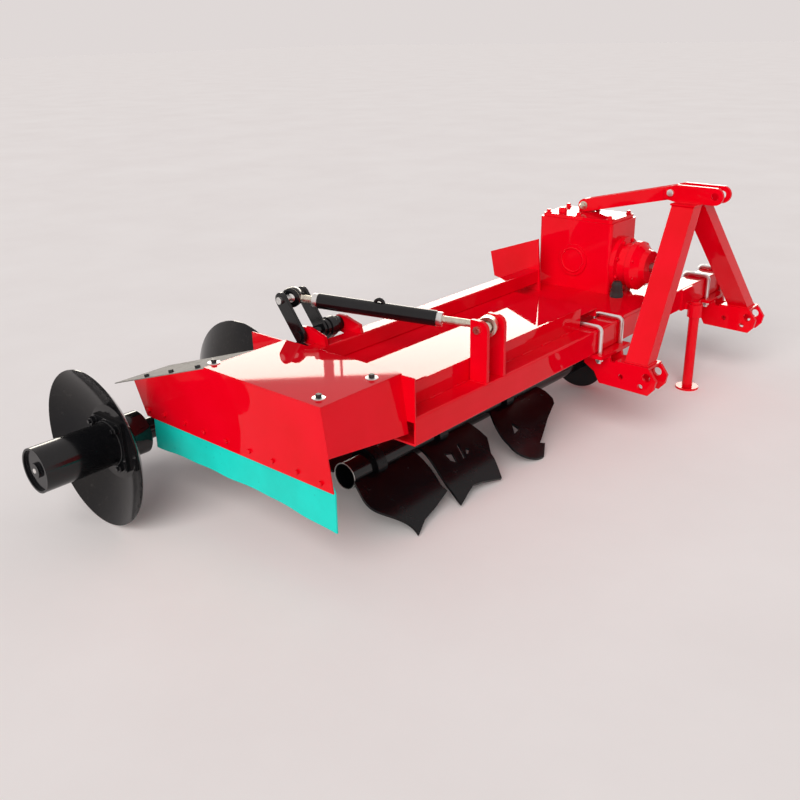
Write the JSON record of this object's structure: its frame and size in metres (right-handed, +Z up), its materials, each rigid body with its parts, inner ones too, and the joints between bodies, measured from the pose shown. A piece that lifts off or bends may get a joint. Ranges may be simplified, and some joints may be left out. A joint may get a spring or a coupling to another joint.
{
  "type": "paddy ridging machine",
  "caption": "Three-point implement with a rotor of curved shares under a hood, a guide box, a dished forming roller on a swing frame with a turnbuckle, and a parking stand.",
  "frame": {"origin": "on the ground, under the middle of the machine's box", "axes": "+X forward to the tractor, +Y to the left, +Z up"},
  "size_m": [1.249, 2.552, 0.803],
  "materials": {
    "red_paint": "gloss",
    "black_paint": "gloss",
    "zinc_steel": "zinc plated",
    "grey_sheet": "satin",
    "turquoise_rubber": "satin"
  },
  "bodies": {
    "root": {"front_beam": "red_paint", "skirt_plate": "red_paint", "hood_sheet": "red_paint", "rear_beam": "red_paint", "rear_apron": "red_paint", "hood_step": "red_paint", "saddle_plate": "red_paint", "side_plate": "red_paint", "guide_inner_panel": "red_paint", "guide_outer_panel": "red_paint", "guide_front_plate": "red_paint", "guide_top_plate": "red_paint", "guide_rear_sheet": "grey_sheet", "guide_flap": "turquoise_rubber", "chain_case": "red_paint", "bearing_cap": "black_paint", "gearbox_case": "red_paint", "gearbox_lid": "red_paint", "input_housing": "red_paint", "hitch_bracket_right": "red_paint", "hitch_bracket_left": "red_paint", "hitch_u_bolts": "zinc_steel", "mast_leg_right": "red_paint", "mast_leg_left": "red_paint", "mast_head": "red_paint", "mast_braces": "red_paint", "link_lugs": "red_paint", "link_pin": "zinc_steel", "pivot_lugs": "red_paint", "stand_clamp": "red_paint"},
    "rotor": {"rotor_tube": "black_paint", "rotor_share_right": "black_paint", "rotor_share_middle": "black_paint", "rotor_share_left": "black_paint"},
    "input_shaft": {"input_shaft": "zinc_steel"},
    "swing_frame": {"swing_shaft": "black_paint", "swing_lever_right": "black_paint", "swing_lever_left": "black_paint", "crank_pin": "zinc_steel", "swing_arm": "black_paint"},
    "forming_roller": {"roller_axle": "black_paint", "roller_drum": "black_paint", "roller_right_disc": "black_paint", "roller_left_disc": "black_paint", "roller_hub_flange": "black_paint", "roller_left_hub": "black_paint"},
    "turnbuckle": {"turnbuckle_barrel": "black_paint", "turnbuckle_front_rod": "zinc_steel"},
    "turnbuckle_rod": {"turnbuckle_rear_rod": "zinc_steel"},
    "parking_stand": {"parking_stand": "red_paint"}
  },
  "joints": [
    {"name": "rotor_spin", "type": "hinge", "parent": "root", "child": "rotor", "pos_m": [0.1305, 0.0735, 0.125], "axis": [0, 1, 0], "continuous": true},
    {"name": "input_spin", "type": "hinge", "parent": "root", "child": "input_shaft", "pos_m": [0.3705, 0.734, 0.503], "axis": [1, 0, 0], "continuous": true},
    {"name": "roller_swing", "type": "hinge", "parent": "root", "child": "swing_frame", "pos_m": [-0.0695, -0.457, 0.5], "axis": [0, 1, 0], "range_deg": [-3, 8]},
    {"name": "roller_spin", "type": "hinge", "parent": "swing_frame", "child": "forming_roller", "pos_m": [-0.3875, -0.457, 0.237], "axis": [0, 1, 0], "continuous": true},
    {"name": "turnbuckle_tilt", "type": "hinge", "parent": "root", "child": "turnbuckle", "pos_m": [0.3895, -0.289, 0.546], "axis": [0, 1, 0], "range_deg": [-0.47, 1.21]},
    {"name": "turnbuckle_screw", "type": "slide", "parent": "turnbuckle", "child": "turnbuckle_rod", "axis": [-0.9052, -0.4167, 0.0837], "range_m": [-0.01373, 0.00527]},
    {"name": "stand_slide", "type": "slide", "parent": "root", "child": "parking_stand", "axis": [0, 0, 1], "range_m": [0, 0.15]}
  ],
  "couplings": [
    {"joint": "turnbuckle_tilt", "follows": "roller_swing", "ratio": 0.14926},
    {"joint": "turnbuckle_screw", "follows": "roller_swing", "m_per_rad": -0.096872}
  ]
}
